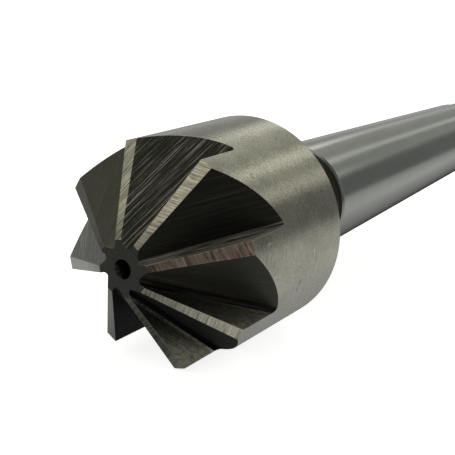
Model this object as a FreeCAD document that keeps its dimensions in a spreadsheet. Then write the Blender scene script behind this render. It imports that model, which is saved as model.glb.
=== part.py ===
import FreeCAD
import Part
import Sketcher
import os

# Countersink made of one piece of steel: a head with eight milled teeth on a 120 degree
# cone, a neck, and a self-holding taper shank with a tang.
# The axis lies along Y. The gauge plane of the taper is at the origin, the teeth point
# to -Y and the tang points to +Y. All sizes are millimetres and degrees.

SIZES = (
    # Head: a flat nose, the cone that carries the teeth, and a ground cylinder behind it.
    # The turned cone is fuller by the stock that grinding takes off the lands.
    ("head_diameter", 31.5),
    ("nose_diameter", 7.8),
    ("point_angle", 120),
    ("head_length", 23),
    ("head_back_chamfer", 0.3),
    ("land_stock", 0.3),
    # Neck between the head and the taper
    ("neck_diameter", 16),
    ("neck_length", 14.2),
    ("neck_corner_radius", 1.5),
    # Taper No. 2 of the self-holding series, 1 to 20.02 on the diameter
    ("gauge_diameter", 17.78),
    ("gauge_overhang", 5),
    ("taper_ratio", 20.02),
    ("taper_length", 65),
    ("taper_front_chamfer", 0.3),
    # Tang that drives the shank and is pushed by the drift
    ("tang_diameter", 13.5),
    ("tang_length", 10),
    ("tang_thickness", 6.3),
    ("tang_runout_radius", 6),
    ("tang_end_radius", 1.6),
    # Flutes: straight V grooves, one wall radial and the other the back of the tooth
    ("flute_count", 8),
    ("first_edge_angle", 16.8),
    ("flute_angle", 74),
    ("flute_root_slope", 41.3),
    ("flute_root_radius", 0.5),
    ("web_diameter", 5.1),
    # Each land falls away behind its cutting edge
    ("relief_angle", 4),
    # Centre holes in the nose and in the end of the tang
    ("centre_angle", 60),
    ("drill_point_angle", 118),
    ("nose_centre_mouth", 2.65),
    ("nose_centre_pilot", 1.25),
    ("nose_centre_depth", 3),
    ("tang_centre_mouth", 3.35),
    ("tang_centre_pilot", 1.6),
    ("tang_centre_depth", 4),
)

document = FreeCAD.newDocument("Countersink")
sheet = document.addObject("Spreadsheet::Sheet", "Sizes")
for row, (alias, size) in enumerate(SIZES, start=1):
    sheet.set(f"A{row}", alias)
    sheet.set(f"B{row}", str(size))
    sheet.setAlias(f"B{row}", alias)
document.recompute()

# Radii and places along the axis, worked out from the sheet
HEAD_RADIUS = "Sizes.head_diameter / 2"
NOSE_RADIUS = "Sizes.nose_diameter / 2"
NECK_RADIUS = "Sizes.neck_diameter / 2"
TANG_RADIUS = "Sizes.tang_diameter / 2"
TAPER_FRONT_RADIUS = "(Sizes.gauge_diameter + Sizes.gauge_overhang / Sizes.taper_ratio) / 2"
TAPER_BACK_RADIUS = "(Sizes.gauge_diameter - Sizes.taper_length / Sizes.taper_ratio) / 2"
HALF_POINT = "Sizes.point_angle / 2"
CONE_LENGTH = f"({HEAD_RADIUS} - {NOSE_RADIUS}) / tan({HALF_POINT})"
TAPER_FRONT = "-Sizes.gauge_overhang"
HEAD_BACK = f"{TAPER_FRONT} - Sizes.neck_length"
HEAD_RIM = f"{HEAD_BACK} - Sizes.head_length"
NOSE = f"{HEAD_RIM} - {CONE_LENGTH}"
TAPER_BACK = "Sizes.taper_length"
TANG_END = f"{TAPER_BACK} + Sizes.tang_length"


# Every drawing below is a closed outline whose corners are bound to the sheet
def start_sketch(body, name, role):
    plane = next(item for item in body.Origin.OriginFeatures if item.Role == role)
    sketch = body.newObject("Sketcher::SketchObject", name)
    sketch.AttachmentSupport = [(plane, "")]
    sketch.MapMode = "FlatFace"
    return sketch


def draw_outline(sketch, corners):
    points = []
    for across, along in corners:
        x = float(sheet.evalExpression(across))
        y = float(sheet.evalExpression(along))
        points.append(FreeCAD.Vector(x, y, 0))
    count = len(points)
    for index, point in enumerate(points):
        line = Part.LineSegment(point, points[(index + 1) % count])
        sketch.addGeometry(line, False)
    for index in range(count):
        joint = Sketcher.Constraint("Coincident", index, 2, (index + 1) % count, 1)
        sketch.addConstraint(joint)
    for index, (across, along) in enumerate(corners):
        bind_corner(sketch, index, "DistanceX", across, points[index].x)
        bind_corner(sketch, index, "DistanceY", along, points[index].y)


def bind_corner(sketch, line, direction, expression, now):
    if expression == "0":
        axis = -2 if direction == "DistanceX" else -1
        sketch.addConstraint(Sketcher.Constraint("PointOnObject", line, 1, axis))
        return
    number = sketch.addConstraint(Sketcher.Constraint(direction, line, 1, now))
    sketch.setExpression(f"Constraints[{number}]", expression)


def round_corner(sketch, line, expression):
    radius = float(sheet.evalExpression(expression))
    arc = sketch.GeometryCount
    sketch.fillet(line, 1, radius, True, True)
    number = sketch.addConstraint(Sketcher.Constraint("Radius", arc, radius))
    sketch.setExpression(f"Constraints[{number}]", expression)


def add_feature(body, kind, name, sketch, **settings):
    feature = body.newObject(kind, name)
    feature.Profile = sketch
    for key, setting in settings.items():
        setattr(feature, key, setting)
    document.recompute()
    return feature


# The blank as it leaves the lathe, from the nose to the end of the tang
def turn_blank(body):
    sketch = start_sketch(body, "BlankOutline", "XY_Plane")
    chamfer = "Sizes.head_back_chamfer"
    small_chamfer = "Sizes.taper_front_chamfer"
    corners = [
        ("0", NOSE),
        (f"{NOSE_RADIUS} + Sizes.land_stock * tan({HALF_POINT})", NOSE),
        (HEAD_RADIUS, f"{HEAD_RIM} - Sizes.land_stock"),
        (HEAD_RADIUS, f"{HEAD_BACK} - {chamfer}"),
        (f"{HEAD_RADIUS} - {chamfer}", HEAD_BACK),
        (NECK_RADIUS, HEAD_BACK),
        (NECK_RADIUS, TAPER_FRONT),
        (f"{TAPER_FRONT_RADIUS} - {small_chamfer}", TAPER_FRONT),
        (f"{TAPER_FRONT_RADIUS} - {small_chamfer} / 2 / Sizes.taper_ratio", f"{TAPER_FRONT} + {small_chamfer}"),
        (TAPER_BACK_RADIUS, TAPER_BACK),
        (TANG_RADIUS, f"{TAPER_BACK} + {TAPER_BACK_RADIUS} - {TANG_RADIUS}"),
        (TANG_RADIUS, TANG_END),
        ("0", TANG_END),
    ]
    draw_outline(sketch, corners)
    neck_corner = corners.index((NECK_RADIUS, HEAD_BACK))
    tang_corner = corners.index((TANG_RADIUS, TANG_END))
    round_corner(sketch, neck_corner, "Sizes.neck_corner_radius")
    round_corner(sketch, tang_corner, "Sizes.tang_end_radius")
    axis = (sketch, ["V_Axis"])
    return add_feature(body, "PartDesign::Revolution", "Blank", sketch, ReferenceAxis=axis, Angle=360)


# A cutter is drawn square to its own path. The path lies in the plane of a cutting edge,
# leans away from the axis by a slope, and passes the nose face at a given radius.
def aim_cutter(sketch, slope, radius):
    edge = "Sizes.first_edge_angle"
    sketch.setExpression("AttachmentOffset.Base.x", f"({radius}) * cos({edge})")
    sketch.setExpression("AttachmentOffset.Base.y", f"({radius}) * sin({edge})")
    sketch.setExpression("AttachmentOffset.Base.z", f"-({NOSE})")
    sketch.setExpression("AttachmentOffset.Rotation.Yaw", edge)
    sketch.setExpression("AttachmentOffset.Rotation.Pitch", f"-({slope})")


def cut_through(body, name, sketch):
    both = {"SideType": "Two sides", "Type": "ThroughAll", "Type2": "ThroughAll"}
    return add_feature(body, "PartDesign::Pocket", name, sketch, **both)


# One flute: the cutter's flat side makes the cutting face, its slanted side the tooth's back
def mill_flute(body):
    sketch = start_sketch(body, "FluteCutter", "XZ_Plane")
    aim_cutter(sketch, "Sizes.flute_root_slope", "Sizes.web_diameter / 2")
    reach = "Sizes.head_diameter"
    slant = "Sizes.flute_angle"
    corners = [
        ("0", "0"),
        (reach, "0"),
        (f"{reach} * cos({slant})", f"{reach} * sin({slant})"),
    ]
    draw_outline(sketch, corners)
    round_corner(sketch, 0, "Sizes.flute_root_radius")
    return cut_through(body, "Flute", sketch)


# One land: a flat through the cutting edge that sinks behind it by the relief angle
def grind_land(body):
    sketch = start_sketch(body, "LandGrinder", "XZ_Plane")
    aim_cutter(sketch, HALF_POINT, NOSE_RADIUS)
    reach = "Sizes.head_diameter / 2"
    fall = "Sizes.relief_angle"
    corners = [
        (f"-{reach} * sin({fall})", f"-{reach} * cos({fall})"),
        (f"{reach} * sin({fall})", f"{reach} * cos({fall})"),
        (reach, "0"),
    ]
    draw_outline(sketch, corners)
    return cut_through(body, "LandRelief", sketch)


def repeat_teeth(body, features):
    axis = next(item for item in body.Origin.OriginFeatures if item.Role == "Y_Axis")
    pattern = body.newObject("PartDesign::PolarPattern", "Teeth")
    pattern.Originals = features
    pattern.Axis = (axis, [""])
    pattern.Angle = 360
    pattern.setExpression("Occurrences", "Sizes.flute_count")
    body.Tip = pattern
    document.recompute()
    return pattern


# The two flats of the tang, square to X, each ending in the curve that the cutter leaves
def mill_tang(body):
    sketch = start_sketch(body, "TangCutter", "XY_Plane")
    flat = "Sizes.tang_thickness / 2"
    clear = "Sizes.gauge_diameter"
    shoulder = f"{TAPER_BACK} - Sizes.tang_runout_radius"
    corners = [
        (flat, shoulder),
        (flat, f"{TANG_END} + {clear}"),
        (clear, f"{TANG_END} + {clear}"),
        (clear, shoulder),
    ]
    draw_outline(sketch, corners)
    round_corner(sketch, 0, "Sizes.tang_runout_radius")
    pocket = cut_through(body, "TangFlat", sketch)
    middle = next(item for item in body.Origin.OriginFeatures if item.Role == "YZ_Plane")
    mirror = body.newObject("PartDesign::Mirrored", "TangFlats")
    mirror.Originals = [pocket]
    mirror.MirrorPlane = (middle, [""])
    body.Tip = mirror
    document.recompute()
    return mirror


# A centre hole: a conical mouth, a pilot bore and the drill's point
def drill_centre(body, end, place, inward):
    sketch = start_sketch(body, f"{end.capitalize()}Centre", "XY_Plane")
    mouth = f"Sizes.{end}_centre_mouth / 2"
    pilot = f"Sizes.{end}_centre_pilot / 2"
    depth = f"Sizes.{end}_centre_depth"
    cone = f"({mouth} - {pilot}) / tan(Sizes.centre_angle / 2)"
    point = f"{pilot} / tan(Sizes.drill_point_angle / 2)"
    corners = [
        ("0", place),
        (mouth, place),
        (pilot, f"{place} + {inward} * {cone}"),
        (pilot, f"{place} + {inward} * {depth}"),
        ("0", f"{place} + {inward} * ({depth} + {point})"),
    ]
    draw_outline(sketch, corners)
    axis = (sketch, ["V_Axis"])
    name = f"{end.capitalize()}CentreHole"
    return add_feature(body, "PartDesign::Groove", name, sketch, ReferenceAxis=axis, Angle=360)


def make_countersink():
    body = document.addObject("PartDesign::Body", "Tool")
    body.Label = "countersink"
    steps = [turn_blank(body)]
    relief = grind_land(body)
    flute = mill_flute(body)
    steps += [relief, flute, repeat_teeth(body, [relief, flute])]
    steps.append(mill_tang(body))
    steps.append(drill_centre(body, "nose", NOSE, 1))
    steps.append(drill_centre(body, "tang", TANG_END, -1))
    body.Placement = FreeCAD.Placement()
    document.recompute()
    for before, after in zip(steps, steps[1:]):
        removed = before.Shape.Volume - after.Shape.Volume
        print(f"{after.Name} takes away {removed:.2f} cubic mm")
        if removed <= 0:
            raise RuntimeError(f"{after.Name} cuts nothing")
    return body


def check_document():
    for item in document.Objects:
        if "Invalid" in item.State or "Error" in item.State:
            raise RuntimeError(f"{item.Name} failed: {item.State}")


def write_step(body):
    shape = body.Shape
    if shape.isNull() or not shape.isValid() or len(shape.Solids) != 1:
        raise RuntimeError(f"{body.Label} is not one valid solid")
    os.makedirs("parts", exist_ok=True)
    shape.exportStep(f"parts/{body.Label}.step")
    box = shape.BoundBox
    print(f"{body.Label}: {shape.Volume:.1f} cubic mm, {box.XLength:.2f} x {box.YLength:.2f} x {box.ZLength:.2f} mm")


countersink = make_countersink()
check_document()
write_step(countersink)
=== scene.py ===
import math

import bmesh
import bpy
from mathutils import Matrix, Vector


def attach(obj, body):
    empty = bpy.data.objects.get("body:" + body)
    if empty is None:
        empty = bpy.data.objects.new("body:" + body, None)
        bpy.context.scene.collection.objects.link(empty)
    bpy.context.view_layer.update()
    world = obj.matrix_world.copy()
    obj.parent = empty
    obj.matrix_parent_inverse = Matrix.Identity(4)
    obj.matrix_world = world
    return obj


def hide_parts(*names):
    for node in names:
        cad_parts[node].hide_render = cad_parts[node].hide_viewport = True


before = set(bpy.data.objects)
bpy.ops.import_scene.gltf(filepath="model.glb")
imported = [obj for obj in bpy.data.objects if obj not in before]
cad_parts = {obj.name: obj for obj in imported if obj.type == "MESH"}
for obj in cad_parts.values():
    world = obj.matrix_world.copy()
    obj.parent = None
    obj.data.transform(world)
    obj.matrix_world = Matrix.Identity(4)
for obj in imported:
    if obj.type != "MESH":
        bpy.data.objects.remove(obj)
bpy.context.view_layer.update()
print("frame loaded:", sorted(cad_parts))


def mm(size):
    return size * 0.001


def toMm(size):
    return size * 1000


# What the lathe leaves, from the nose to the end of the tang
blank = {
    "noseY": mm(-49.042),
    "noseBand": mm(0.01),  # faces within this of the nose's plane are its end face
    "noseRadius": mm(3.9),
    "halfPoint": math.radians(60),
    "landStock": mm(0.3),  # left on the cone for the grinding of the lands
    "headRadius": mm(15.75),
    "headLength": mm(23),
    "headBackChamfer": mm(0.3),
    "neckRadius": mm(8),
    "neckLength": mm(14.2),
    "neckCorner": mm(1.5),
    "gaugeRadius": mm(8.89),
    "taperRatio": 20.02,
    "taperLength": mm(65),
    "taperChamfer": mm(0.3),
    "tangRadius": mm(6.75),
    "tangEndY": mm(75),
    "tangEndCorner": mm(1.6),
    "strips": 288,  # long strips round the axis
    "cornerSteps": 8,
}

teeth = {
    "count": 8,
    "firstEdge": math.radians(16.8),  # from +X towards +Z
    "fluteAngle": math.radians(74),
    "rootSlope": math.radians(41.3),
    "rootRadius": mm(0.5),
    "webRadius": mm(2.55),
    "relief": math.radians(4),
    "rootSteps": 12,
    "reach": mm(60),  # how far a cutter runs past its origin, each way
}

toothPitch = math.tau / teeth["count"]
headRimY = blank["noseY"] + (blank["headRadius"] - blank["noseRadius"]) / math.tan(blank["halfPoint"])
headBackY = headRimY + blank["headLength"]
taperFrontY = headBackY + blank["neckLength"]

# The material slots of every mesh, in this order
finishes = [
    "noseFace",
    "headGround",
    "neckTurned",
    "shankGround",
    "tangTurned",
    "centreBore",
    "cuttingFace",
    "toothBack",
    "landGround",
    "tangMilled",
]


def taperRadius(y):
    return blank["gaugeRadius"] - y / blank["taperRatio"] / 2


def arcPoints(centre, radius, start, end, steps):
    angles = [start + (end - start) * i / steps for i in range(steps + 1)]
    return [(centre[0] + radius * math.cos(a), centre[1] + radius * math.sin(a)) for a in angles]


centreHoles = {
    "nose": {"mouth": mm(1.325), "pilot": mm(0.625), "depth": mm(3)},
    "tang": {"mouth": mm(1.675), "pilot": mm(0.8), "depth": mm(4)},
    "halfCone": math.radians(30),
    "halfDrillPoint": math.radians(59),
}


def centreHolePoints(hole, endY, inward):
    coneDepth = (hole["mouth"] - hole["pilot"]) / math.tan(centreHoles["halfCone"])
    pointDepth = hole["pilot"] / math.tan(centreHoles["halfDrillPoint"])
    return [
        (0, endY + inward * (hole["depth"] + pointDepth)),
        (hole["pilot"], endY + inward * hole["depth"]),
        (hole["pilot"], endY + inward * coneDepth),
        (hole["mouth"], endY),
    ]


# Each point is a radius and a place on the axis, with the finish of the surface that ends there
def blankProfile():
    noseFlat = blank["noseRadius"] + blank["landStock"] * math.tan(blank["halfPoint"])
    chamfer = blank["headBackChamfer"]
    small = blank["taperChamfer"]
    neck = blank["neckRadius"]
    corner = blank["neckCorner"]
    steps = blank["cornerSteps"]
    front = taperRadius(taperFrontY)
    back = taperRadius(blank["taperLength"])
    tang = blank["tangRadius"]
    tangCorner = blank["tangEndCorner"]
    hole = centreHolePoints(centreHoles["nose"], blank["noseY"], 1)
    profile = [("centreBore", point) for point in hole]
    profile += [("noseFace", (noseFlat, blank["noseY"]))]
    profile += [("landGround", (blank["headRadius"], headRimY - blank["landStock"]))]
    profile += [("headGround", (blank["headRadius"], headBackY - chamfer))]
    profile += [("headGround", (blank["headRadius"] - chamfer, headBackY))]
    centre = (neck + corner, headBackY + corner)
    arc = arcPoints(centre, corner, -math.pi / 2, -math.pi, steps)
    profile += [("neckTurned", point) for point in arc]
    profile += [("neckTurned", (neck, taperFrontY))]
    profile += [("neckTurned", (front - small, taperFrontY))]
    profile += [("shankGround", (taperRadius(taperFrontY + small), taperFrontY + small))]
    profile += [("shankGround", (back, blank["taperLength"]))]
    profile += [("tangTurned", (tang, blank["taperLength"] + back - tang))]
    centre = (tang - tangCorner, blank["tangEndY"] - tangCorner)
    arc = arcPoints(centre, tangCorner, 0, math.pi / 2, steps)
    profile += [("tangTurned", point) for point in arc]
    hole = centreHolePoints(centreHoles["tang"], blank["tangEndY"], -1)[::-1]
    profile += [("tangTurned", hole[0])]
    profile += [("centreBore", point) for point in hole[1:]]
    return profile


def addObject(name, mesh):
    piece = bpy.data.objects.new(name, mesh)
    bpy.context.scene.collection.objects.link(piece)
    return piece


def meshFrom(name, build, materials):
    shape = bmesh.new()
    build(shape)
    bmesh.ops.recalc_face_normals(shape, faces=shape.faces)
    mesh = bpy.data.meshes.new(name)
    shape.to_mesh(mesh)
    shape.free()
    for finish in finishes:
        mesh.materials.append(materials[finish])
    return mesh


def turnBlank(shape):
    strips = blank["strips"]
    angles = [math.tau * i / strips for i in range(strips)]
    rings = []
    profile = blankProfile()
    for finish, (radius, y) in profile:
        if radius == 0:
            rings.append([shape.verts.new((0, y, 0))])
            continue
        places = [(radius * math.cos(a), y, radius * math.sin(a)) for a in angles]
        rings.append([shape.verts.new(place) for place in places])
    for (finish, point), before, after in zip(profile[1:], rings, rings[1:]):
        for i in range(strips):
            j = (i + 1) % strips
            corners = [before[i % len(before)], before[j % len(before)]]
            corners += [after[j % len(after)], after[i % len(after)]]
            # A ring of one point, on the axis, gives triangles
            face = shape.faces.new(list(dict.fromkeys(corners)))
            face.material_index = finishes.index(finish)
            face.smooth = True


# A solid swept straight along the given way, from a closed outline with a finish for each of its sides
def sweepOutline(shape, outline, origin, across, up, along, reach):
    def place(point, distance):
        return origin + across * point[0] + up * point[1] + along * distance

    near = [shape.verts.new(place(point, -reach)) for finish, point in outline]
    far = [shape.verts.new(place(point, reach)) for finish, point in outline]
    for i in range(len(outline)):
        j = (i + 1) % len(outline)
        face = shape.faces.new([near[i], near[j], far[j], far[i]])
        face.material_index = finishes.index(outline[i][0])
        face.smooth = True
    shape.faces.new(near[::-1]).material_index = 0
    shape.faces.new(far).material_index = 0


# The cutters stand where they would cut the edge along +X
radial = Vector((1, 0, 0))
tangential = Vector((0, 0, 1))
tipward = Vector((0, -1, 0))


# The root's arc, the cutting face and the back of the tooth before it
def fluteCutter(shape):
    slope = teeth["rootSlope"]
    angle = teeth["fluteAngle"]
    radius = teeth["rootRadius"]
    reach = teeth["reach"]
    along = radial * math.sin(slope) - tipward * math.cos(slope)
    outward = radial * math.cos(slope) + tipward * math.sin(slope)
    origin = radial * teeth["webRadius"] + Vector((0, blank["noseY"], 0))
    centre = (radius / math.tan(angle / 2), radius)
    arc = arcPoints(centre, radius, angle + math.pi / 2, math.pi * 1.5, teeth["rootSteps"])
    outline = [("toothBack", point) for point in arc[:-1]] + [("cuttingFace", arc[-1])]
    outline += [("noseFace", (reach, 0))]
    outline += [("toothBack", (reach * math.cos(angle), reach * math.sin(angle)))]
    sweepOutline(shape, outline, origin, outward, tangential, along, reach)


# Takes off the stock left for grinding, and falls away behind the edge
def landCutter(shape):
    along = radial * math.sin(blank["halfPoint"]) - tipward * math.cos(blank["halfPoint"])
    outward = radial * math.cos(blank["halfPoint"]) + tipward * math.sin(blank["halfPoint"])
    origin = radial * blank["noseRadius"] + Vector((0, blank["noseY"], 0))
    fall = teeth["relief"]
    reach = blank["headRadius"]
    outline = [
        ("landGround", (-reach * math.sin(fall), -reach * math.cos(fall))),
        ("noseFace", (reach * math.sin(fall), reach * math.cos(fall))),
        ("noseFace", (reach, 0)),
    ]
    sweepOutline(shape, outline, origin, outward, tangential, along, teeth["reach"])


tangFlats = {"halfThickness": mm(3.15), "runout": mm(6), "steps": 16, "clear": mm(9)}


# The two flats of the tang, with the curves where the cutter runs out
def flatCutters(shape):
    half = tangFlats["halfThickness"]
    runout = tangFlats["runout"]
    clear = tangFlats["clear"]
    startY = blank["taperLength"]
    arc = arcPoints((startY, half + runout), runout, math.pi, math.pi * 1.5, tangFlats["steps"])
    for side in (1, -1):
        outline = [("tangMilled", point) for point in arc]
        outline += [("tangMilled", (blank["tangEndY"] + clear, half))]
        outline += [("tangMilled", (blank["tangEndY"] + clear, half + runout))]
        sweepOutline(shape, outline, Vector(), Vector((0, 1, 0)), radial * side, tangential, clear * 2)


class NodeTree:
    # A geometry tree under construction: one method adds its own sockets, another its nodes
    def __init__(self, name):
        self.tree = bpy.data.node_groups.new(name, "GeometryNodeTree")
        self.links = self.tree.links

    def socket(self, name, kind, way="INPUT"):
        return self.tree.interface.new_socket(name=name, in_out=way, socket_type=kind)

    def node(self, kind, settings=None, inputs=None):
        node = self.tree.nodes.new(kind)
        for key, value in (settings or {}).items():
            setattr(node, key, value)
        for key, value in (inputs or {}).items():
            if isinstance(value, bpy.types.NodeSocket):
                self.links.new(value, node.inputs[key])
            else:
                node.inputs[key].default_value = value
        return node

    def maths(self, operation, first, second):
        return self.node("ShaderNodeMath", {"operation": operation}, {0: first, 1: second}).outputs[0]


# Cuts the lands and the flutes with one cutter of each kind, turned round the axis, then the flats
def millingTree():
    tree = NodeTree("millTeeth")
    tree.socket("Blank", "NodeSocketGeometry")
    tree.socket("Flute Cutter", "NodeSocketObject")
    tree.socket("Land Cutter", "NodeSocketObject")
    tree.socket("Flat Cutters", "NodeSocketObject")
    tree.socket("Teeth", "NodeSocketInt")
    tree.socket("First Edge", "NodeSocketFloat")
    tree.socket("Nose End", "NodeSocketFloat")
    tree.socket("Nose Finish", "NodeSocketMaterial")
    tree.socket("Milled", "NodeSocketGeometry", "OUTPUT")
    start = tree.node("NodeGroupInput").outputs
    places = tree.node("GeometryNodePoints", inputs={"Count": start["Teeth"]}).outputs[0]
    index = tree.node("GeometryNodeInputIndex").outputs[0]
    pitch = tree.maths("DIVIDE", -math.tau, start["Teeth"])
    turn = tree.maths("MULTIPLY", index, pitch)
    turn = tree.maths("SUBTRACT", turn, start["First Edge"])
    rotation = tree.node("ShaderNodeCombineXYZ", inputs={"Y": turn}).outputs[0]
    milled = start["Blank"]
    for cutter, repeated in (("Land Cutter", True), ("Flute Cutter", True), ("Flat Cutters", False)):
        solid = tree.node("GeometryNodeObjectInfo", inputs={"Object": start[cutter]}).outputs["Geometry"]
        if repeated:
            inputs = {"Points": places, "Instance": solid, "Rotation": rotation}
            solid = tree.node("GeometryNodeInstanceOnPoints", inputs=inputs).outputs[0]
            solid = tree.node("GeometryNodeRealizeInstances", inputs={"Geometry": solid}).outputs[0]
        settings = {"operation": "DIFFERENCE", "solver": "MANIFOLD"}
        inputs = {"Mesh 1": milled, "Mesh 2": solid}
        milled = tree.node("GeometryNodeMeshBoolean", settings, inputs).outputs["Mesh"]
    milled = tree.node("GeometryNodeRealizeInstances", inputs={"Geometry": milled}).outputs[0]
    # What the cutters leave of the blank's end face keeps its own finish
    place = tree.node("GeometryNodeInputPosition").outputs[0]
    height = tree.node("ShaderNodeSeparateXYZ", inputs={0: place}).outputs["Y"]
    inputs = {0: height, 1: start["Nose End"]}
    onNose = tree.node("FunctionNodeCompare", {"operation": "LESS_THAN"}, inputs).outputs[0]
    inputs = {"Geometry": milled, "Selection": onNose, "Material": start["Nose Finish"]}
    finished = tree.node("GeometryNodeSetMaterial", inputs=inputs).outputs[0]
    tree.node("NodeGroupOutput", inputs={"Milled": finished})
    return tree.tree


def setInput(modifier, tree, name, value):
    socket = next(item for item in tree.interface.items_tree if item.name == name)
    modifier[socket.identifier] = value


def bakeMesh(piece, name):
    view = bpy.context.evaluated_depsgraph_get()
    mesh = bpy.data.meshes.new_from_object(piece.evaluated_get(view), depsgraph=view)
    mesh.name = name
    return mesh


edgeBreak = {
    "width": mm(0.045),
    "steps": 2,
    "sharperThan": math.radians(24),
    "mergeWithin": mm(0.02),
    "dissolveBelow": mm(0.01),
}


def breakEdges(tool):
    shape = bmesh.new()
    shape.from_mesh(tool.data)
    bmesh.ops.remove_doubles(shape, verts=shape.verts, dist=edgeBreak["mergeWithin"])
    bmesh.ops.dissolve_degenerate(shape, dist=edgeBreak["dissolveBelow"], edges=shape.edges)
    openEdges = [edge for edge in shape.edges if len(edge.link_faces) != 2]
    shortest = min(edge.calc_length() for edge in shape.edges)
    print("open edges:", len(openEdges), "shortest edge mm:", toMm(shortest))
    shape.to_mesh(tool.data)
    shape.free()
    bevel = tool.modifiers.new("breakEdges", "BEVEL")
    bevel.width = edgeBreak["width"]
    bevel.segments = edgeBreak["steps"]
    bevel.limit_method = "ANGLE"
    bevel.angle_limit = edgeBreak["sharperThan"]
    bevel.use_clamp_overlap = False
    bevel.miter_outer = "MITER_SHARP"
    bevel.harden_normals = True
    mesh = bakeMesh(tool, "countersinkTool")
    tool.modifiers.clear()
    tool.data = mesh
    print("edges broken:", len(mesh.polygons), "faces")


def makeTool(materials):
    tool = addObject("countersinkTool", meshFrom("turnedBlank", turnBlank, materials))
    cutters = {
        "Flute Cutter": addObject("fluteCutter", meshFrom("fluteCutter", fluteCutter, materials)),
        "Land Cutter": addObject("landCutter", meshFrom("landCutter", landCutter, materials)),
        "Flat Cutters": addObject("flatCutters", meshFrom("flatCutters", flatCutters, materials)),
    }
    tree = millingTree()
    modifier = tool.modifiers.new("millTeeth", "NODES")
    modifier.node_group = tree
    for name, cutter in cutters.items():
        setInput(modifier, tree, name, cutter)
    setInput(modifier, tree, "Teeth", teeth["count"])
    setInput(modifier, tree, "First Edge", teeth["firstEdge"])
    setInput(modifier, tree, "Nose End", blank["noseY"] + blank["noseBand"])
    setInput(modifier, tree, "Nose Finish", materials["noseFace"])
    milled = bakeMesh(tool, "milledTool")
    tool.modifiers.clear()
    tool.data = milled
    for cutter in cutters.values():
        bpy.data.objects.remove(cutter)
    print("teeth milled:", len(milled.vertices), "points,", len(milled.polygons), "faces")
    breakEdges(tool)
    return tool


class Socket:
    # One value, colour or vector of a material, with the arithmetic that the finishes use
    def __init__(self, shading, socket):
        self.shading = shading
        self.socket = socket

    def __add__(self, other):
        return self.shading.maths("ADD", self, other)

    def __radd__(self, other):
        return self.shading.maths("ADD", other, self)

    def __sub__(self, other):
        return self.shading.maths("SUBTRACT", self, other)

    def __rsub__(self, other):
        return self.shading.maths("SUBTRACT", other, self)

    def __mul__(self, other):
        return self.shading.maths("MULTIPLY", self, other)

    def __rmul__(self, other):
        return self.shading.maths("MULTIPLY", other, self)

    def __truediv__(self, other):
        return self.shading.maths("DIVIDE", self, other)

    def __rtruediv__(self, other):
        return self.shading.maths("DIVIDE", other, self)


bumpDepth = mm(0.02)  # what a bump of full height and strength would measure
white = (1, 1, 1, 1)


class Shading:
    # The nodes of a material or of the sky under construction: every node comes from one method
    def __init__(self, owner):
        self.owner = owner
        self.owner.use_nodes = True
        self.tree = owner.node_tree
        self.tree.nodes.clear()

    def node(self, kind, settings=None, inputs=None, output=0):
        node = self.tree.nodes.new(kind)
        for key, value in (settings or {}).items():
            if key == "stops":
                self.setStops(node.color_ramp, *value)
            else:
                setattr(node, key, value)
        for key, value in (inputs or {}).items():
            if isinstance(value, Socket):
                self.tree.links.new(value.socket, node.inputs[key])
            elif isinstance(value, tuple):
                size = 3 if node.inputs[key].type == "VECTOR" else 4
                node.inputs[key].default_value = value[:size]
            else:
                node.inputs[key].default_value = value
        return Socket(self, node.outputs[output]) if node.outputs else node

    def setStops(self, ramp, interpolation, stops):
        ramp.interpolation = interpolation
        while len(ramp.elements) < len(stops):
            ramp.elements.new(1)
        for element, (position, colour) in zip(ramp.elements, stops):
            element.position = position
            element.color = colour

    def maths(self, operation, first, second=0.0):
        return self.node("ShaderNodeMath", {"operation": operation}, {0: first, 1: second})

    def combine(self, operation, first, second):
        # Two colours or vectors, channel by channel
        return self.node("ShaderNodeVectorMath", {"operation": operation}, {0: first, 1: second})

    def times(self, vector, factor):
        inputs = {0: vector, "Scale": factor}
        return self.node("ShaderNodeVectorMath", {"operation": "SCALE"}, inputs)

    def parts(self, vector):
        split = self.node("ShaderNodeSeparateXYZ", inputs={0: vector}).socket.node
        return [Socket(self, output) for output in split.outputs]

    def join(self, x, y, z):
        return self.node("ShaderNodeCombineXYZ", inputs={0: x, 1: y, 2: z})

    def distance(self, first, second):
        return self.maths("SQRT", first * first + second * second)

    def mix(self, factor, first, second):
        settings = {"data_type": "RGBA"}
        return self.node("ShaderNodeMix", settings, {0: factor, 6: first, 7: second}, output=2)

    def stretch(self, value, low, high, to=(0.0, 1.0)):
        inputs = {0: value, 1: low, 2: high, 3: to[0], 4: to[1]}
        return self.node("ShaderNodeMapRange", {"clamp": True}, inputs)

    def softStep(self, value, low, high):
        settings = {"interpolation_type": "SMOOTHSTEP"}
        return self.node("ShaderNodeMapRange", settings, {0: value, 1: low, 2: high})

    def noise(self, place, pattern, seed=0.0):
        # A pattern is how fine the noise is along each part of the place, its layer, detail and roughness
        fineness, layer, detail, roughness = pattern
        parts = [part * scale for part, scale in zip(place, fineness)]
        if seed:
            parts[0] = parts[0] + seed
        if len(parts) < 3:
            parts.append(layer)
        elif layer:
            parts[2] = parts[2] + layer
        inputs = {"Vector": self.join(*parts), "Scale": 1.0, "Detail": detail, "Roughness": roughness}
        return self.node("ShaderNodeTexNoise", inputs=inputs)

    def bump(self, height, strength):
        inputs = {"Height": height, "Strength": strength, "Distance": bumpDepth}
        return self.node("ShaderNodeBump", inputs=inputs)

    def place(self):
        # Millimetres on the tool, along X, Y and Z
        metres = self.node("ShaderNodeTexCoord", output=3)
        return self.parts(self.times(metres, toMm(1.0)))

    def steel(self, colour, roughness, normal):
        inputs = {"Base Color": colour, "Roughness": roughness, "Normal": normal, "Metallic": 1.0}
        shader = self.node("ShaderNodeBsdfPrincipled", inputs=inputs)
        self.node("ShaderNodeOutputMaterial", inputs={"Surface": shader})
        return self.owner


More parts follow.
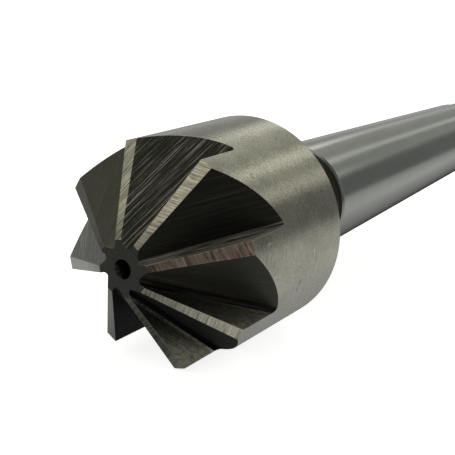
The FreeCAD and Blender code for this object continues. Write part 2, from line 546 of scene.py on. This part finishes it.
def newFinish(name):
    return Shading(bpy.data.materials.new(name))


# A place on a tooth: the tooth's number from the first edge, then millimetres along its edge,
# across it and on the axis
def toothPlace(finish, place, method):
    x, y, z = place
    angle = finish.maths("ARCTAN2", z, x)
    number = finish.maths(method, (angle - teeth["firstEdge"]) / toothPitch)
    turn = number * toothPitch + teeth["firstEdge"]
    if method == "CEIL":
        turn = turn - toothPitch
    cosine = finish.maths("COSINE", turn)
    sine = finish.maths("SINE", turn)
    tooth = finish.maths("FLOORED_MODULO", number, teeth["count"])
    return tooth, x * cosine + z * sine, z * cosine - x * sine, y


# A place in a flute, in millimetres: along its root, then away from the root's own direction,
# counted once from the origin and once from the root
def flutePlace(along, axial):
    slope = teeth["rootSlope"]
    rootRise = toMm(teeth["webRadius"] * math.cos(slope) - blank["noseY"] * math.sin(slope))
    run = along * math.sin(slope) + axial * math.cos(slope)
    rise = along * math.cos(slope) - axial * math.sin(slope)
    return run, rise, rise - rootRise


# One value for each tooth, in the order of their edges from +X towards +Z
def perTooth(finish, tooth, values):
    stops = [(i / len(values), (*value, 1.0)) for i, value in enumerate(values)]
    place = (tooth + 0.5) / len(values)
    return finish.node("ShaderNodeValToRGB", {"stops": ("CONSTANT", stops)}, {0: place})


pitClusters = ((0.35, 0.35, 0.35), 0.0, 2.0, 0.6)


def specks(finish, place, size, amount, seed):
    # Small pits, a few of them in clusters
    x, y, z = place
    inputs = {"Vector": finish.join(x + seed, y, z), "Scale": 1 / size}
    dots = finish.node("ShaderNodeTexVoronoi", inputs=inputs)
    where = finish.noise(place, pitClusters, seed)
    return finish.stretch(dots, 0.16, 0.05) * finish.stretch(where, 0.66 - amount, 0.72 - amount)


groundHead = {
    "colour": (0.345, 0.341, 0.284, 1),
    "darkColour": (0.20, 0.198, 0.163, 1),
    "pitColour": (0.1, 0.085, 0.07, 1),
    "scratchColour": (0.42, 0.42, 0.37, 1),
    "roughness": 0.21,
    "bump": 1.1,
    "pits": (0.55, 0.04, 3.0),  # size, amount, seed
    # patterns: how fine they are along X, Y and Z, layer, detail, roughness
    "strokes": ((1.3, 6.0, 1.3), 0.0, 3.0, 0.6),
    "sand": ((3.6, 4.2, 3.6), 0.0, 2.0, 0.6),
    "rings": ((0.12, 2.2, 0.12), 0.0, 3.0, 0.6),
    "cloud": ((0.3, 0.25, 0.3), 0.0, 4.0, 0.55),
    "scratches": ((1.0, 1.0, 5.0), 0.0, 1.0, 0.6),
    # small knocks: place on the axis, degrees from the top, size along it and round it, lean, colour
    "knocks": [
        (-35.9, 44.4, 0.30, 0.17, 35, (0.085, 0.055, 0.04)),
        (-36.2, 46.0, 0.45, 0.30, 20, (0.24, 0.195, 0.165)),
        (-24.2, 29.3, 0.50, 0.30, -20, (0.17, 0.17, 0.14)),
        (-29.2, 2.7, 0.16, 0.16, 0, (0.11, 0.11, 0.09)),
        (-30.1, 105.8, 0.15, 0.62, 28, (0.05, 0.05, 0.04)),
        (-30.1, 105.8, 0.14, 0.50, -32, (0.07, 0.07, 0.055)),
        (-30.2, 110.0, 0.26, 0.36, 10, (0.04, 0.04, 0.03)),
        (-27.2, 92.6, 0.09, 0.80, 4, (0.50, 0.50, 0.44)),
        (-26.6, 97.0, 0.14, 0.36, 0, (0.13, 0.13, 0.11)),
        (-38.8, 70.3, 0.16, 0.24, 0, (0.10, 0.10, 0.08)),
    ],
}


def knock(finish, axial, turn, mark):
    y, degrees, long, wide, lean = mark[:5]
    cosine = math.cos(math.radians(lean))
    sine = math.sin(math.radians(lean))
    along = axial - y
    around = (turn - math.radians(degrees)) * toMm(blank["headRadius"])
    first = (along * cosine + around * sine) / long
    second = (around * cosine - along * sine) / wide
    return finish.stretch(first * first + second * second, 1.0, 0.25)


def headGround():
    finish = newFinish("headGround")
    x, y, z = finish.place()
    turn = finish.maths("ARCTAN2", x, z)
    strokes = finish.noise((x, y, z), groundHead["strokes"])
    sand = finish.noise((x, y, z), groundHead["sand"])
    rings = finish.noise((x, y, z), groundHead["rings"])
    cloud = finish.noise((x, y, z), groundHead["cloud"])
    pits = specks(finish, (x, y, z), *groundHead["pits"])
    slanted = (x * 0.7 + z * 0.5, y * 0.5 - z * 0.4, x)
    scratch = finish.stretch(finish.noise(slanted, groundHead["scratches"]), 0.735, 0.76)
    tone = finish.stretch(strokes * 0.4 + sand * 0.45 + rings * 0.1 + cloud * 0.3, 0.50, 0.74)
    colour = finish.mix(tone, groundHead["darkColour"], groundHead["colour"])
    colour = finish.mix(pits * 0.8, colour, groundHead["pitColour"])
    colour = finish.mix(scratch * 0.4, colour, groundHead["scratchColour"])
    for mark in groundHead["knocks"]:
        colour = finish.mix(knock(finish, y, turn, mark) * 0.85, colour, (*mark[5], 1))
    rough = groundHead["roughness"] + (cloud - 0.5) * 0.16 + (sand - 0.5) * 0.16
    height = sand * 0.55 + strokes * 0.55 + rings * 0.2 - pits * 1.2 - scratch * 0.6
    return finish.steel(colour, rough, finish.bump(height, groundHead["bump"]))


groundShank = {
    "colour": (0.256, 0.267, 0.25, 1),
    "darkColour": (0.217, 0.227, 0.212, 1),
    "pitColour": (0.1, 0.1, 0.09, 1),
    "roughness": 0.17,
    "bump": 0.09,
    "pits": (0.7, 0.02, 11.0),  # size, amount, seed
    "fine": ((0.4, 13.0, 0.4), 0.0, 3.0, 0.6),
    "rings": ((0.1, 1.3, 0.1), 0.0, 3.0, 0.6),
    "cloud": ((0.35, 0.08, 0.35), 0.0, 3.0, 0.6),
}


def shankGround():
    finish = newFinish("shankGround")
    place = finish.place()
    fine = finish.noise(place, groundShank["fine"])
    rings = finish.noise(place, groundShank["rings"])
    cloud = finish.noise(place, groundShank["cloud"])
    pits = specks(finish, place, *groundShank["pits"])
    tone = finish.stretch(fine * 0.4 + rings * 0.3 + cloud * 0.3, 0.36, 0.64)
    colour = finish.mix(tone, groundShank["darkColour"], groundShank["colour"])
    colour = finish.mix(pits * 0.6, colour, groundShank["pitColour"])
    rough = groundShank["roughness"] + (cloud - 0.5) * 0.12 + (fine - 0.5) * 0.1
    height = fine * 0.7 + rings * 0.4 - pits
    return finish.steel(colour, rough, finish.bump(height, groundShank["bump"]))


# Finishes from the lathe: colour, darker colour of the grooves, roughness, grooves in a millimetre
turned = {
    "neckTurned": ((0.22, 0.218, 0.185, 1), (0.14, 0.138, 0.115, 1), 0.33, 3.0),
    "tangTurned": ((0.24, 0.24, 0.22, 1), (0.17, 0.17, 0.155, 1), 0.3, 4.5),
    "noseFace": ((0.074, 0.076, 0.07, 1), (0.05, 0.053, 0.05, 1), 0.5, 2.0),
    # the centre holes are darkened almost to black, a painted shade in the holes
    "centreBore": ((0.035, 0.035, 0.035, 1), (0.01, 0.01, 0.01, 1), 0.25, 5.0),
}
turnedGrain = ((3.0, 3.0, 3.0), 0.0, 3.0, 0.6)
turnedBump = 0.12


def turnedFinish(name):
    bright, dark, roughness, pitch = turned[name]
    finish = newFinish(name)
    x, y, z = finish.place()
    grooves = finish.noise((finish.distance(x, z), y), ((pitch, pitch), 0.0, 3.0, 0.6))
    grain = finish.noise((x, y, z), turnedGrain)
    tone = finish.stretch(grooves * 0.5 + grain * 0.5, 0.35, 0.65)
    colour = finish.mix(tone, dark, bright)
    rough = roughness + (grain - 0.5) * 0.15
    return finish.steel(colour, rough, finish.bump(grooves * 0.6 + grain * 0.4, turnedBump))


millMarks = {
    "colour": (0.235, 0.235, 0.2, 1),
    "lineColour": (0.62, 0.6, 0.53, 1),
    "roughness": 0.2,
    "bump": 0.35,
    "rootWidth": (0.85, 0.65),  # millimetres up the back where the root's colour ends
    # patterns along the flute and up the back
    "fine": ((0.12, 8.0), 0.0, 3.0, 0.7),
    "lines": ((0.04, 4.6), 3.0, 4.0, 0.8),
    "groups": ((0.08, 0.9), 6.0, 1.0, 0.6),
    "feed": ((3.0, 2.0), 9.0, 2.0, 0.5),
    "cloud": ((0.25, 0.25, 0.25), 5.0, 3.0, 0.6),
    # for each tooth: how bright its surface is, a painted light and shade for the way it faces, how
    # strong its lines are, how dull it is
    "teeth": [
        (0.13, 0.06, 0.15),
        (0.08, 0.055, 0.28),
        (0.26, 1.00, 0.00),
        (0.64, 0.10, 0.00),
        (0.84, 0.90, 0.00),
        (0.80, 0.10, 0.00),
        (0.72, 0.45, 0.00),
        (0.07, 0.05, 0.50),
    ],
    # for each tooth: the colour of the root of its flute, painted light and shade that differ with the
    # way the root faces
    "paintedRootShades": [
        (0.020, 0.020, 0.020),
        (0.200, 0.190, 0.165),
        (0.060, 0.060, 0.050),
        (0.100, 0.100, 0.080),
        (0.150, 0.150, 0.140),
        (0.050, 0.050, 0.050),
        (0.050, 0.055, 0.060),
        (0.012, 0.015, 0.020),
    ],
}


def toothBack():
    finish = newFinish("toothBack")
    place = finish.place()
    tooth, along, across, axial = toothPlace(finish, place, "CEIL")
    run, rise, fromRoot = flutePlace(along, axial)
    wide = fromRoot * math.cos(teeth["fluteAngle"]) + across * math.sin(teeth["fluteAngle"])
    # Each back's shade is painted light and shade for the way it faces
    shade, strength, dull = finish.parts(perTooth(finish, tooth, millMarks["teeth"]))
    seed = tooth * 7.31
    fine = finish.noise((run, wide), millMarks["fine"], seed)
    lines = finish.noise((run, wide), millMarks["lines"], seed)
    groups = finish.noise((run, wide), millMarks["groups"], seed)
    feed = finish.noise((run, wide), millMarks["feed"], seed)
    cloud = finish.noise(place, millMarks["cloud"])
    bright = finish.stretch(lines, 0.54, 0.64) * (0.25 + feed * 1.1)
    bright = bright * finish.stretch(groups, 0.3, 0.6, (0.35, 1.1))
    line = (bright + finish.stretch(fine, 0.56, 0.68) * 0.4) * strength
    tone = shade * (0.15 + fine * 0.7 + lines * 0.7 + cloud * 0.3)
    colour = finish.mix(line, finish.times(millMarks["colour"], tone), millMarks["lineColour"])
    # The root of each flute is coloured with its painted light and shade
    inRoot = finish.stretch(wide, *millMarks["rootWidth"])
    rootTone = 0.2 + finish.stretch(fine, 0.42, 0.62) * 1.5
    root = finish.times(perTooth(finish, tooth, millMarks["paintedRootShades"]), rootTone)
    colour = finish.mix(inRoot, colour, root)
    rough = millMarks["roughness"] + fine * 0.12 + line * 0.5 + dull + inRoot * 0.3
    height = fine * 0.5 + finish.stretch(lines, 0.3, 0.7) * strength * 1.6
    return finish.steel(colour, rough, finish.bump(height, millMarks["bump"]))


cutMarks = {
    "colour": (0.235, 0.235, 0.205, 1),
    "stain": (0.16, 0.11, 0.075, 1),
    "scuffed": (0.80, 0.80, 0.72, 1),
    # painted highlight on the ridge marks and on the hub end of the face that looks up
    "ridgeAndHubHighlight": (0.85, 0.84, 0.78, 1),  # the ridges and the hub end of the face that looks up
    "roughness": 0.18,
    "bump": 0.2,
    "rootHighlightWidth": (1.25, 0.85),  # millimetres up the face where the painted highlight at the root ends
    # the colour of that painted highlight, on the last tooth but one and on the last
    "rootHighlights": [(0.95, 0.95, 0.88, 1), (0.64, 0.56, 0.53, 1)],
    # ranges out from the axis, in millimetres, some with the values at their two ends
    "brighter": (7.0, 15.0, (0.7, 1.35)),
    "stained": (9.0, 15.0),
    "duller": (8.0, 15.0),
    "rootHighlightFade": (8.0, 15.0, (1.0, 0.45)),
    # where the painted highlight lies on the ridges and on the hub end
    "ridgeHighlightFade": (15.0, 5.0, (0.35, 1.0)),
    "hubHighlightEnd": (8.5, 3.5),
    # patterns along the flute, up the face and from tooth to tooth
    "fine": ((0.1, 6.0, 5.0), 0.0, 3.0, 0.7),
    "rubbed": ((1.1, 3.2, 3.0), 1.0, 4.0, 0.7),
    "scuffs": ((0.25, 3.6, 2.0), 4.0, 3.0, 0.75),
    "ridges": ((0.03, 1.9), 7.0, 3.0, 0.8),
    "cloud": ((0.3, 0.3, 0.3), 2.0, 3.0, 0.6),
    # for each tooth: the painted light and shade of its cutting face, set by the way it faces; the sixth
    # is nearly black, a painted dark reflection
    "paintedFaceShades": [
        (0.50, 0.51, 0.50),
        (1.00, 1.00, 1.00),
        (0.90, 0.90, 0.90),
        (0.90, 0.90, 0.90),
        (1.00, 1.00, 1.00),
        (0.04, 0.06, 0.10),
        (0.90, 0.90, 0.80),
        (0.95, 0.95, 0.90),
    ],
}


def cuttingFace():
    finish = newFinish("cuttingFace")
    place = finish.place()
    tooth, along, across, axial = toothPlace(finish, place, "ROUND")
    run, rise, fromRoot = flutePlace(along, axial)
    fine = finish.noise((run, rise, tooth), cutMarks["fine"])
    rubbed = finish.noise((run, rise, tooth), cutMarks["rubbed"])
    scuffs = finish.noise((run, rise, tooth), cutMarks["scuffs"])
    ridges = finish.noise((run, rise), cutMarks["ridges"], 2.0)
    cloud = finish.noise(place, cutMarks["cloud"])
    # Each tooth's cutting face gets its painted light and shade
    tone = perTooth(finish, tooth, cutMarks["paintedFaceShades"])
    # Rubbed patches, darker towards the hub and brighter towards the rim
    rubbedBrighterOutward = 0.4 + fine * 0.3 + finish.stretch(rubbed, 0.38, 0.64) * 0.8
    rubbedBrighterOutward = rubbedBrighterOutward * finish.stretch(along, *cutMarks["brighter"])
    colour = finish.times(finish.combine("MULTIPLY", cutMarks["colour"], tone), rubbedBrighterOutward)
    stain = finish.stretch(cloud, 0.52, 0.7) * finish.stretch(along, *cutMarks["stained"])
    colour = finish.mix(stain * 0.6, colour, cutMarks["stain"])
    scuff = finish.stretch(scuffs, 0.56, 0.70) * finish.stretch(cloud, 0.40, 0.60) * 0.45
    colour = finish.mix(scuff, colour, finish.combine("MULTIPLY", cutMarks["scuffed"], tone))
    # Teeth are counted from 0, so these pick the last two and the last
    lastTwo = finish.stretch(tooth, 5.4, 5.6)
    last = finish.stretch(tooth, 6.4, 6.6)
    # A painted highlight along the root of the last two faces, broken by the rubbed pattern and fading
    # towards the rim
    rootHighlight = finish.stretch(fromRoot, *cutMarks["rootHighlightWidth"]) * lastTwo
    rootHighlight = rootHighlight * finish.stretch(rubbed, 0.34, 0.56, (0.1, 1.0))
    rootHighlight = rootHighlight * finish.stretch(along, *cutMarks["rootHighlightFade"])
    colour = finish.mix(rootHighlight, colour, finish.mix(last, *cutMarks["rootHighlights"]))
    # The first tooth's face looks up: a painted highlight lies on its hub end, and on its ridge marks out
    # to the rim, fading
    looksUp = finish.stretch(tooth, 0.5, 0.4)
    ridgeAndHubHighlight = finish.stretch(ridges, 0.52, 0.62) * finish.stretch(along, *cutMarks["ridgeHighlightFade"])
    ridgeAndHubHighlight = finish.maths("MAXIMUM", ridgeAndHubHighlight, finish.stretch(along, *cutMarks["hubHighlightEnd"])) * looksUp
    colour = finish.mix(ridgeAndHubHighlight, colour, cutMarks["ridgeAndHubHighlight"])
    dull = looksUp * 0.3 + finish.stretch(along, *cutMarks["duller"]) * 0.25
    rough = cutMarks["roughness"] + fine * 0.12 + cloud * 0.06 + dull
    return finish.steel(colour, rough, finish.bump(fine, cutMarks["bump"]))


landMarks = {
    "roughness": 0.34,
    "bump": 0.25,
    "shaded": (4.5, 8.5, (0.6, 1.0)),  # darker near the hub: millimetres out from the axis, shades
    # patterns along the land and away from the edge
    "fine": ((6.5, 0.3, 1.0), 0.0, 2.0, 0.6),
    "chatter": ((3.4, 0.3), 4.0, 2.0, 0.6),
    "patch": ((0.35, 0.5), 8.0, 2.0, 0.6),
    # for each tooth: the colour of the ground land, its own tint mixed with painted light and shade for
    # the way each land faces
    "colours": [
        (0.31, 0.252, 0.208),
        (0.315, 0.30, 0.248),
        (0.305, 0.302, 0.247),
        (0.22, 0.22, 0.195),
        (0.23, 0.23, 0.213),
        (0.24, 0.24, 0.222),
        (0.50, 0.50, 0.46),
        (0.50, 0.485, 0.40),
    ],
    # for each tooth: how far the wheel marks lean, how strong they are, how close together they are
    "marks": [
        (0.22, 1.05, 0.36),
        (0.35, 1.15, 0.85),
        (0.95, 1.70, 1.05),
        (0.60, 0.30, 0.80),
        (0.50, 0.35, 0.70),
        (0.50, 0.35, 0.70),
        (0.50, 0.60, 0.70),
        (0.05, 0.85, 1.10),
    ],
}


def landGround():
    finish = newFinish("landGround")
    # A land lies just before its tooth's edge, so its place is counted from the edge before
    tooth, along, across, axial = toothPlace(finish, finish.place(), "CEIL")
    fromEdge = across * math.cos(toothPitch) - along * math.sin(toothPitch)
    outward = along * math.cos(toothPitch) + across * math.sin(toothPitch)
    run = outward * math.sin(blank["halfPoint"]) + axial * math.cos(blank["halfPoint"])
    lean, strength, close = finish.parts(perTooth(finish, tooth, landMarks["marks"]))
    marked = (run + fromEdge * lean) * close
    seed = tooth * 3.7
    fine = finish.noise((marked, fromEdge, seed), landMarks["fine"], seed)
    chatter = finish.noise((marked, fromEdge), landMarks["chatter"], seed)
    patch = finish.noise((run, fromEdge), landMarks["patch"], seed)
    dark = finish.stretch(chatter, 0.50, 0.40) * finish.stretch(patch, 0.3, 0.55, (0.45, 1.0))
    light = finish.stretch(fine, 0.50, 0.62) * strength
    # Painted shade near the hub, on top of each land's painted light and shade
    shade = finish.stretch(outward, *landMarks["shaded"])
    base = finish.times(perTooth(finish, tooth, landMarks["colours"]), shade)
    colour = finish.times(base, 0.8 + fine * 0.3)
    colour = finish.mix(dark * strength * 0.8, colour, finish.times(base, 0.35))
    colour = finish.mix(light * 0.55, colour, finish.times(base, 2.0))
    rough = landMarks["roughness"] + (fine - 0.5) * 0.2
    return finish.steel(colour, rough, finish.bump(fine * 0.5 + chatter * 0.5, landMarks["bump"]))


tangMarks = {
    "colour": (0.25, 0.25, 0.23, 1),
    "dark": (0.19, 0.19, 0.175, 1),
    "roughness": 0.28,
    "bump": 0.25,
    "cutterCentre": (78.0, -22.0),  # Y and Z, in millimetres
    "arcs": ((5.0, 0.2), 0.0, 3.0, 0.7),
    "grain": ((2.0, 2.0, 2.0), 0.0, 2.0, 0.6),
}


def tangMilled():
    finish = newFinish("tangMilled")
    x, y, z = finish.place()
    centreY, centreZ = tangMarks["cutterCentre"]
    # Arcs that the face of the cutter leaves
    arcs = finish.noise((finish.distance(y - centreY, z - centreZ), x), tangMarks["arcs"])
    grain = finish.noise((x, y, z), tangMarks["grain"])
    tone = finish.stretch(arcs * 0.7 + grain * 0.3, 0.35, 0.65)
    colour = finish.mix(tone, tangMarks["dark"], tangMarks["colour"])
    rough = tangMarks["roughness"] + (arcs - 0.5) * 0.15
    return finish.steel(colour, rough, finish.bump(arcs, tangMarks["bump"]))


def makeFinishes():
    made = {name: turnedFinish(name) for name in turned}
    for make in (headGround, shankGround, toothBack, cuttingFace, landGround, tangMilled):
        made[make.__name__] = make()
    return made


photoCamera = {
    "sensor": 36,
    "lens": 74.8,
    "clip": (0.005, 50),
    "place": (0.074057, -0.136746, 0.037375),
    "forward": (-0.53181878, 0.80294463, -0.26916299),
    "up": (-0.14863122, 0.22440471, 0.96309464),
}


def aimCamera():
    camera = bpy.data.cameras.new("photoCamera")
    camera.sensor_width = photoCamera["sensor"]
    camera.sensor_height = photoCamera["sensor"]
    camera.sensor_fit = "HORIZONTAL"
    camera.lens = photoCamera["lens"]
    camera.clip_start, camera.clip_end = photoCamera["clip"]
    piece = addObject("photoCamera", camera)
    forward = Vector(photoCamera["forward"])
    right = forward.cross(Vector(photoCamera["up"])).normalized()
    up = right.cross(forward).normalized()
    turn = Matrix((right, up, -forward)).transposed().to_4x4()
    piece.matrix_world = Matrix.Translation(Vector(photoCamera["place"])) @ turn
    bpy.context.scene.camera = piece


studioFloor = {
    "z": mm(-15.9),
    "size": 6.0,
    "colours": ((0.82, 0.82, 0.82, 1), (0.86, 0.86, 0.86, 1)),
    "cloud": ((0.01, 0.01), 0.0, 2.0, 0.6),
    "roughness": 0.9,
    "gloss": 0.1,
    "glow": 0.8,  # a lit table, so that it stays pale under the tool
    # what the steel mirrors of the table, in millimetres from here on
    "around": (0.27, 0.275, 0.267, 1),
    "front": (0.2, 0.175, 0.155, 1),
    "frontFade": (-20, -90),  # along Y
    # the pool is a painted pool of light, darker towards the front, and the shade under the tool is a
    # painted shadow; the steel sees them only in reflection
    "pool": (0.84, 0.84, 0.82, 1),
    "poolMiddle": (-15, 30),
    "poolFade": (250, 60),  # away from its middle
    "poolFrontFade": (-95, -65),
    "shadeX": -2,  # the shade under the tool
    "shadeFade": (2, 24),
    "shadeLight": (0.06, 1.0),
    "shadeFrontFade": (-50, -70),
}


def paleFloor():
    finish = newFinish("paleFloor")
    x, y, z = finish.place()
    look = studioFloor
    colour = finish.mix(finish.noise((x, y), look["cloud"]), *look["colours"])
    inputs = {"Base Color": colour, "Roughness": look["roughness"], "Specular IOR Level": look["gloss"]}
    inputs |= {"Emission Color": white, "Emission Strength": look["glow"]}
    seen = finish.node("ShaderNodeBsdfPrincipled", inputs=inputs)
    # A painted pool of light and a painted shadow under the tool, seen only by reflected rays
    middleX, middleY = look["poolMiddle"]
    away = finish.distance(x - middleX, y - middleY)
    inPool = finish.stretch(away, *look["poolFade"]) * finish.stretch(y, *look["poolFrontFade"])
    light = finish.mix(finish.stretch(y, *look["frontFade"]), look["around"], look["front"])
    light = finish.mix(inPool, light, look["pool"])
    beside = finish.maths("ABSOLUTE", x - look["shadeX"])
    shade = finish.stretch(beside, *look["shadeFade"], look["shadeLight"])
    shade = finish.maths("MAXIMUM", shade, finish.stretch(y, *look["shadeFrontFade"]))
    inputs = {"Color": finish.times(light, shade), "Strength": 1.0}
    mirrored = finish.node("ShaderNodeEmission", inputs=inputs)
    direct = finish.node("ShaderNodeLightPath", output=0)
    shader = finish.node("ShaderNodeMixShader", inputs={0: direct, 1: mirrored, 2: seen})
    finish.node("ShaderNodeOutputMaterial", inputs={"Surface": shader})
    return finish.owner


def makeFloor():
    half = studioFloor["size"] / 2
    mesh = bpy.data.meshes.new("studioFloor")
    corners = [(-half, -half), (half, -half), (half, half), (-half, half)]
    mesh.from_pydata([(x, y, studioFloor["z"]) for x, y in corners], [], [(0, 1, 2, 3)])
    mesh.materials.append(paleFloor())
    floor = addObject("studioFloor", mesh)


studioSky = {
    "horizon": (0.27, 0.275, 0.267, 1),
    "overhead": (0.22, 0.221, 0.195, 1),
    "overheadFade": (0.25, 0.6),
    "stripEnd": 0.02,
    # strip lights beyond the tang that run along the tool: degrees from straight above towards +X,
    # half width and soft edge in degrees, where it begins and ends towards the tang, light
    "strips": [
        (-25, 67, 18, (0.60, 1.02), (0.14, 0.14, 0.132, 1)),
        (-88, 6, 14, (0.60, 1.02), (0.17, 0.17, 0.17, 1)),
        (2, 36, 6, (0.60, 0.885), (0.26, 0.26, 0.235, 1)),
        (-47, 5, 6, (0.87, 1.02), (0.34, 0.34, 0.315, 1)),
        (8, 3, 7, (0.87, 1.02), (0.64, 0.63, 0.58, 1)),
        (20, 28, 8, (0.88, 1.02), (0.03, 0.03, 0.03, 1)),
        (34, 8, 8, (0.87, 1.02), (0.10, 0.10, 0.095, 1)),
    ],
    # soft panels: the way to each, its half width and its soft edge in degrees, its light
    "panels": [
        ((-0.33, 0.848, 0.40), 3, 2.5, (1.15, 1.13, 1.03, 1)),
        ((-0.16, 0.862, 0.475), 7, 6, (0.15, 0.147, 0.132, 1)),
        ((0.168, 0.845, 0.506), 2.5, 2.5, (1.80, 1.77, 1.61, 1)),
        ((0.405, 0.845, 0.347), 3, 3.5, (1.15, 1.13, 1.02, 1)),
        ((0.10, 0.40, 0.91), 12, 14, (0.45, 0.45, 0.43, 1)),
        ((-0.34, -0.76, 0.52), 20, 18, (0.9, 0.86, 0.76, 1)),
        ((0.00, -0.25, 0.97), 9, 12, (0.6, 0.6, 0.58, 1)),
        ((0.90, 0.10, 0.42), 14, 14, (0.8, 0.8, 0.78, 1)),
    ],
}


def makeSky():
    sky = Shading(bpy.data.worlds.new("studioSky"))
    way = sky.node("ShaderNodeTexCoord", output=0)
    x, y, z = sky.parts(way)
    high = sky.stretch(z, *studioSky["overheadFade"])
    light = sky.mix(high, studioSky["horizon"], studioSky["overhead"])
    turn = sky.maths("ARCTAN2", x, z) * math.degrees(1)
    end = studioSky["stripEnd"]
    for middle, half, edge, (near, far), colour in studioSky["strips"]:
        beyond = sky.stretch(y, near, near + end) * sky.stretch(y, far, far - end)
        glow = sky.softStep(sky.maths("ABSOLUTE", turn - middle), half + edge, half)
        light = sky.combine("ADD", light, sky.times(colour, glow * beyond))
    for to, half, edge, colour in studioSky["panels"]:
        inputs = {0: way, 1: tuple(Vector(to).normalized())}
        facing = sky.node("ShaderNodeVectorMath", {"operation": "DOT_PRODUCT"}, inputs, output=1)
        outer = math.cos(math.radians(half + edge))
        inner = math.cos(math.radians(half))
        glow = sky.softStep(facing, outer, inner)
        light = sky.combine("ADD", light, sky.times(colour, glow))
    # The camera itself sees plain white
    shown = sky.node("ShaderNodeLightPath", output=0)
    inputs = {"Color": sky.mix(shown, light, white), "Strength": 1.0}
    background = sky.node("ShaderNodeBackground", inputs=inputs)
    sky.node("ShaderNodeOutputWorld", inputs={"Surface": background})
    bpy.context.scene.world = sky.owner


softLamp = {"size": 0.5, "energy": 1.2, "colour": (1.0, 0.98, 0.94), "place": (-0.15, 0.45, 0.75)}


def makeLamp():
    lamp = bpy.data.lights.new("softLamp", "AREA")
    lamp.shape = "DISK"
    lamp.size = softLamp["size"]
    lamp.energy = softLamp["energy"]
    lamp.color = softLamp["colour"]
    piece = addObject("softLamp", lamp)
    piece.location = softLamp["place"]
    piece.rotation_euler = Vector(softLamp["place"]).to_track_quat("Z", "Y").to_euler()


def makeStudio():
    makeFloor()
    makeSky()
    makeLamp()
    bpy.context.scene.view_settings.view_transform = "Standard"


aimCamera()
makeStudio()
print("camera and studio set")
finishMaterials = makeFinishes()
print("finishes made:", len(finishMaterials))
tool = makeTool(finishMaterials)
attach(tool, "root")
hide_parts("countersink")
